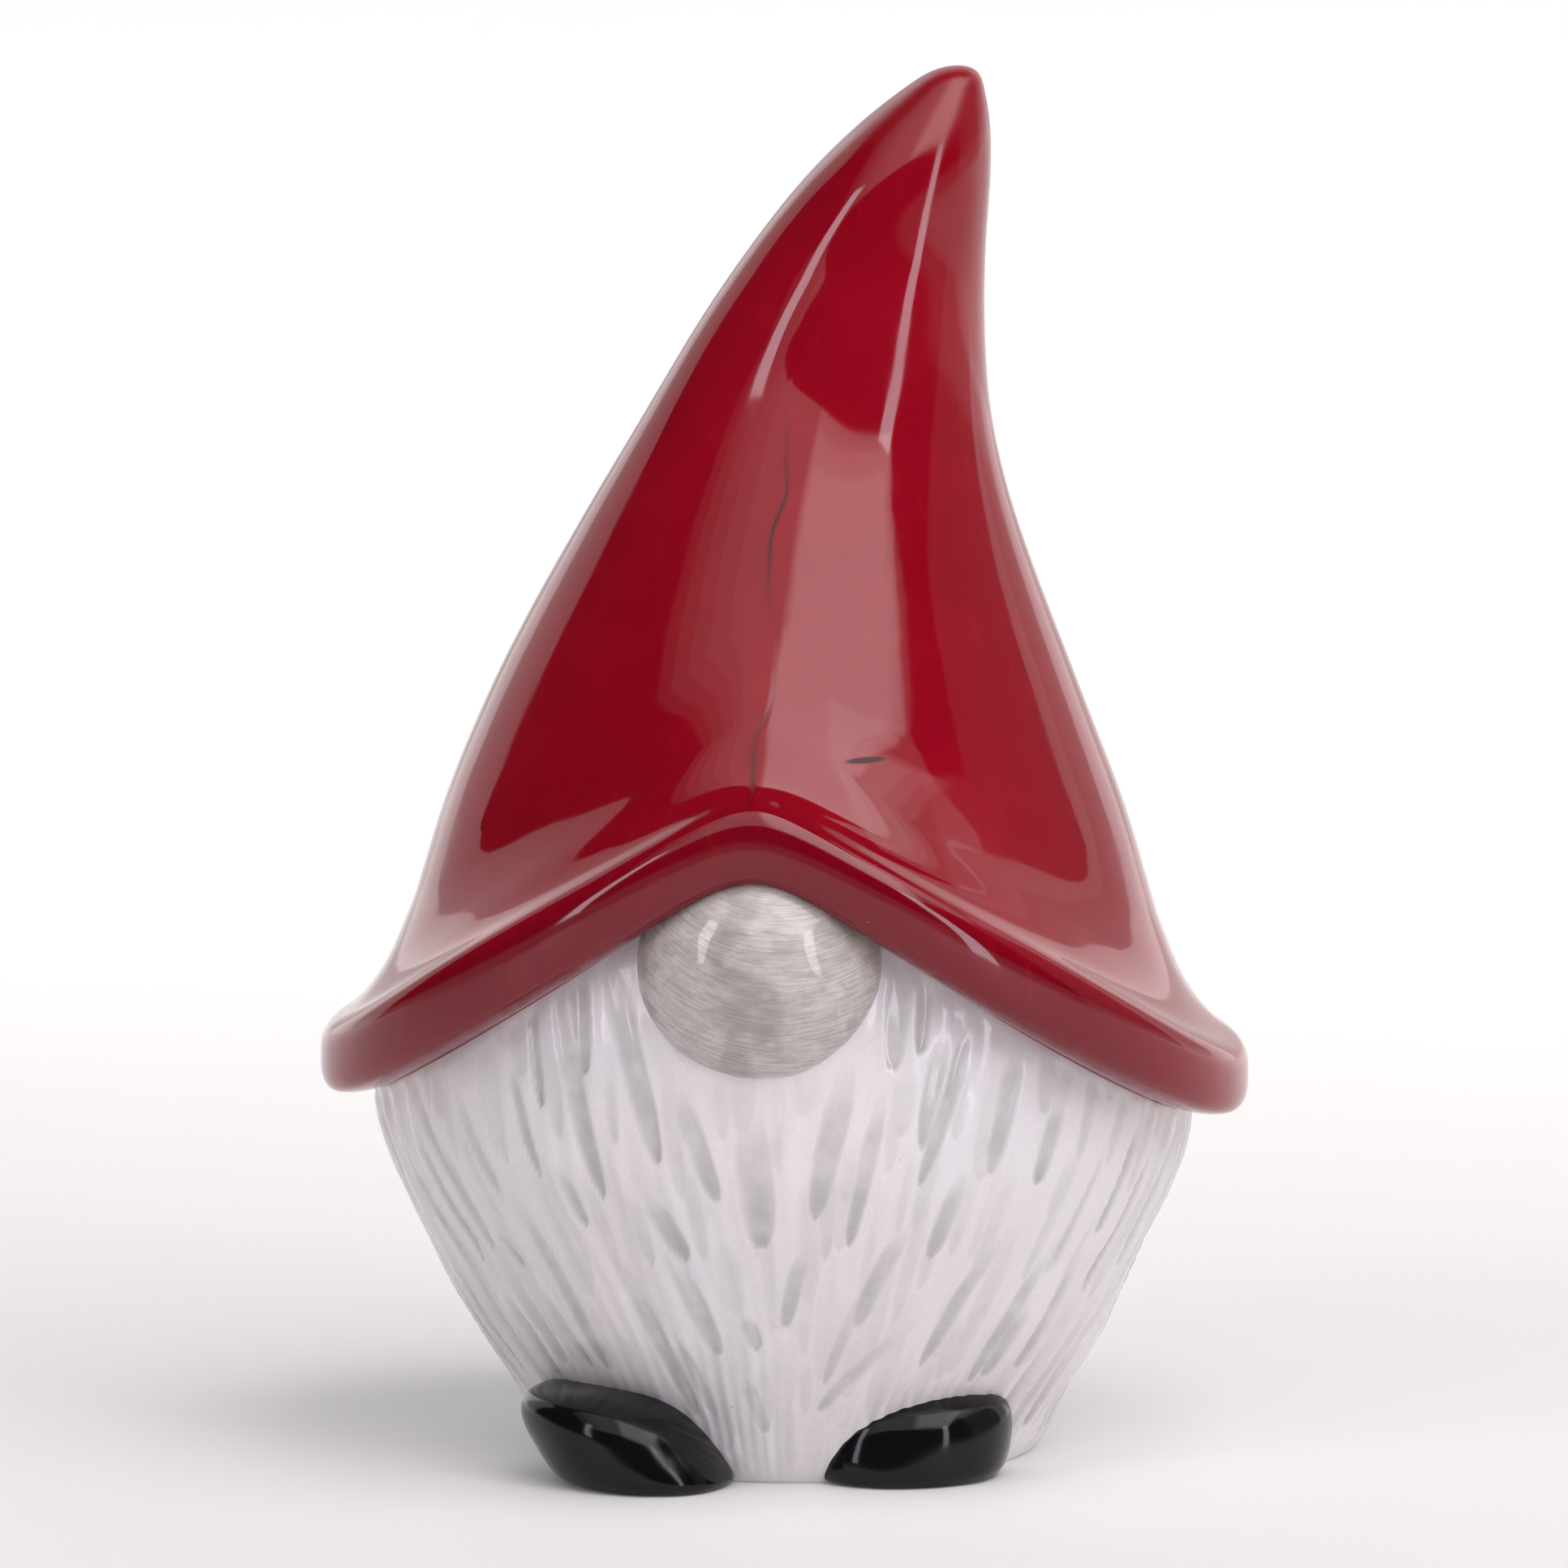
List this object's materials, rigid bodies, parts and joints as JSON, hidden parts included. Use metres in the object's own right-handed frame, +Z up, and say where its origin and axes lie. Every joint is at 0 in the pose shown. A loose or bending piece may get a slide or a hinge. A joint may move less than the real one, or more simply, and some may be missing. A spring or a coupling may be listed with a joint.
{
  "type": "garden gnome",
  "caption": "Glazed ceramic garden gnome: a hollow beard-shaped body under a tall leaning pointed hat with a rolled brim, a round nose and shoe tips.",
  "frame": {"origin": "on the ground, under the middle of the whole figure", "axes": "+Z up; the gnome faces -Y and its hat leans towards +X, its own left"},
  "size_m": [0.1204, 0.1089, 0.18],
  "materials": {
    "red_glaze": "high gloss deep red glaze",
    "white_glaze": "glossy white glaze with a grey wash in the grooves",
    "grey_glaze": "glossy brushed greyish beige glaze",
    "black_glaze": "high gloss black glaze"
  },
  "bodies": {
    "root": {"hat": "red_glaze", "body": "white_glaze", "nose": "grey_glaze", "left_shoe": "black_glaze", "right_shoe": "black_glaze"}
  },
  "joints": []
}
